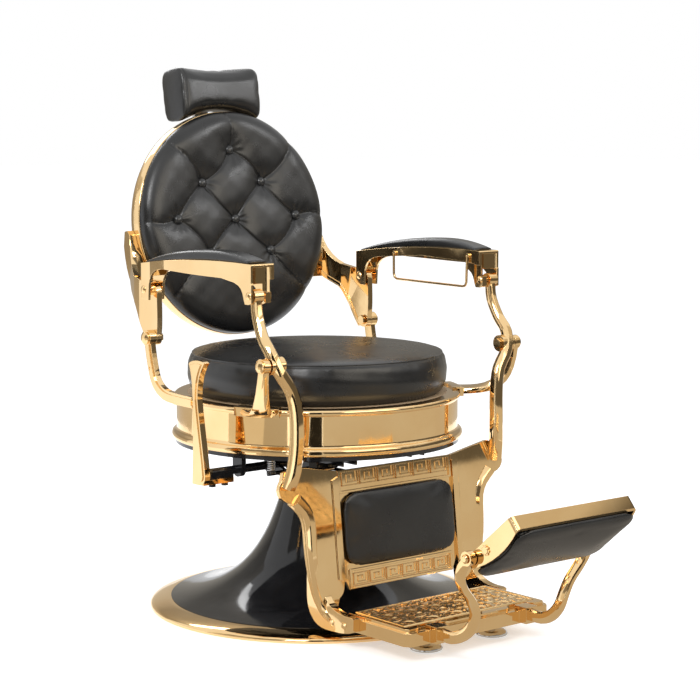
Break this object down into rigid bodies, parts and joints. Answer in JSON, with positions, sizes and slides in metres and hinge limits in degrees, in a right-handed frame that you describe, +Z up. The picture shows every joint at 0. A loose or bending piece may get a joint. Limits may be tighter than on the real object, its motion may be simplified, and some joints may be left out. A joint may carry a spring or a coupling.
{
  "type": "barber chair",
  "caption": "Hydraulic barber chair with round tufted back, round seat, linked armrests and leg frame, flip footrest, hand lever and sliding headrest",
  "frame": {"origin": "on the floor at the centre of the pedestal base", "axes": "+Z up, the sitter faces -Y, the left hand of the sitter is +X"},
  "size_m": [0.672, 1.1073, 1.0444],
  "materials": {
    "gold_plate": "polished light gold plating",
    "black_enamel": "gloss enamel",
    "steel": "polished",
    "leather": "semi-gloss upholstery leather",
    "seal_rubber": "moulded",
    "bronze": "machined",
    "plywood": "raw"
  },
  "bodies": {
    "base": {"base_ring": "gold_plate", "base_plate": "black_enamel", "pedestal_cover": "black_enamel", "pump_cylinder": "steel", "pump_bolts": "steel", "gland_nut": "steel", "gland_seal": "seal_rubber"},
    "ram": {"pump_ram": "steel", "ram_piston": "steel", "thrust_washer": "bronze"},
    "seat": {"seat_mount_neck": "black_enamel", "seat_channels": "black_enamel", "seat_pan": "black_enamel", "seat_drum": "gold_plate", "seat_board": "plywood", "seat_cushion": "leather", "seat_cushion_rear": "leather", "front_bracket_left": "gold_plate", "front_bracket_right": "gold_plate", "rear_post_left": "gold_plate", "rear_post_right": "gold_plate", "hinge_bolts": "gold_plate", "lever_bearings": "black_enamel", "lever_spring": "steel"},
    "lever": {"hand_lever": "gold_plate", "lever_shaft": "black_enamel", "lever_bolts": "black_enamel", "lever_crank": "black_enamel"},
    "back": {"back_shell": "gold_plate", "back_board": "plywood", "back_cushion": "leather", "back_buttons": "leather", "back_arm_left": "gold_plate", "back_arm_right": "gold_plate", "headrest_socket": "gold_plate"},
    "headrest": {"headrest_bar": "steel", "headrest_pillow": "leather"},
    "armrest_left": {"armrest_frame_left": "gold_plate", "armrest_pad_left": "leather", "armrest_rivets_left": "gold_plate", "towel_rail": "gold_plate"},
    "armrest_right": {"armrest_frame_right": "gold_plate", "armrest_pad_right": "leather", "armrest_rivets_right": "gold_plate"},
    "leg": {"front_leg_left": "gold_plate", "front_leg_right": "gold_plate", "calf_panel": "gold_plate", "calf_pad": "leather", "foot_platform": "gold_plate", "glide_feet": "steel", "leg_rivets": "gold_plate", "footrest_arm_left": "gold_plate", "footrest_arm_right": "gold_plate"},
    "footrest": {"footrest_frame": "gold_plate", "footrest_pad": "leather", "footrest_pins": "gold_plate", "footrest_rosettes": "gold_plate"}
  },
  "joints": [
    {"name": "lift", "type": "slide", "parent": "base", "child": "ram", "axis": [0, 0, 1], "range_m": [0, 0.15]},
    {"name": "swivel", "type": "hinge", "parent": "ram", "child": "seat", "pos_m": [0, 0, 0.28], "axis": [0, 0, 1], "continuous": true},
    {"name": "back_recline", "type": "hinge", "parent": "seat", "child": "back", "pos_m": [0, 0.168, 0.528], "axis": [-1, 0, 0], "range_deg": [0, 35], "deforming": ["seat_cushion_rear"]},
    {"name": "leg_swing", "type": "hinge", "parent": "seat", "child": "leg", "pos_m": [0, -0.23, 0.512], "axis": [-1, 0, 0], "range_deg": [0, 28.4]},
    {"name": "armrest_left_tilt", "type": "hinge", "parent": "back", "child": "armrest_left", "pos_m": [0.278, 0.172, 0.621], "axis": [-1, 0, 0], "range_deg": [-38, 0]},
    {"name": "armrest_right_tilt", "type": "hinge", "parent": "back", "child": "armrest_right", "pos_m": [-0.278, 0.172, 0.621], "axis": [-1, 0, 0], "range_deg": [-38, 0]},
    {"name": "headrest_height", "type": "slide", "parent": "back", "child": "headrest", "axis": [0, 0.1219, 0.9925], "range_m": [0, 0.1]},
    {"name": "footrest_flip", "type": "hinge", "parent": "leg", "child": "footrest", "pos_m": [0, -0.597, 0.209], "axis": [-1, 0, 0], "range_deg": [0, 135]},
    {"name": "lever_rock", "type": "hinge", "parent": "seat", "child": "lever", "pos_m": [-0.335, -0.08, 0.303], "axis": [1, 0, 0], "range_deg": [-12, 18], "stiffness_Nm_per_rad": 20, "deforming": ["lever_spring"]}
  ],
  "couplings": [
    {"joint": "leg_swing", "follows": "back_recline", "ratio": 0.8095},
    {"joint": "armrest_left_tilt", "follows": "back_recline", "ratio": -1.0841},
    {"joint": "armrest_right_tilt", "follows": "back_recline", "ratio": -1.0841}
  ]
}
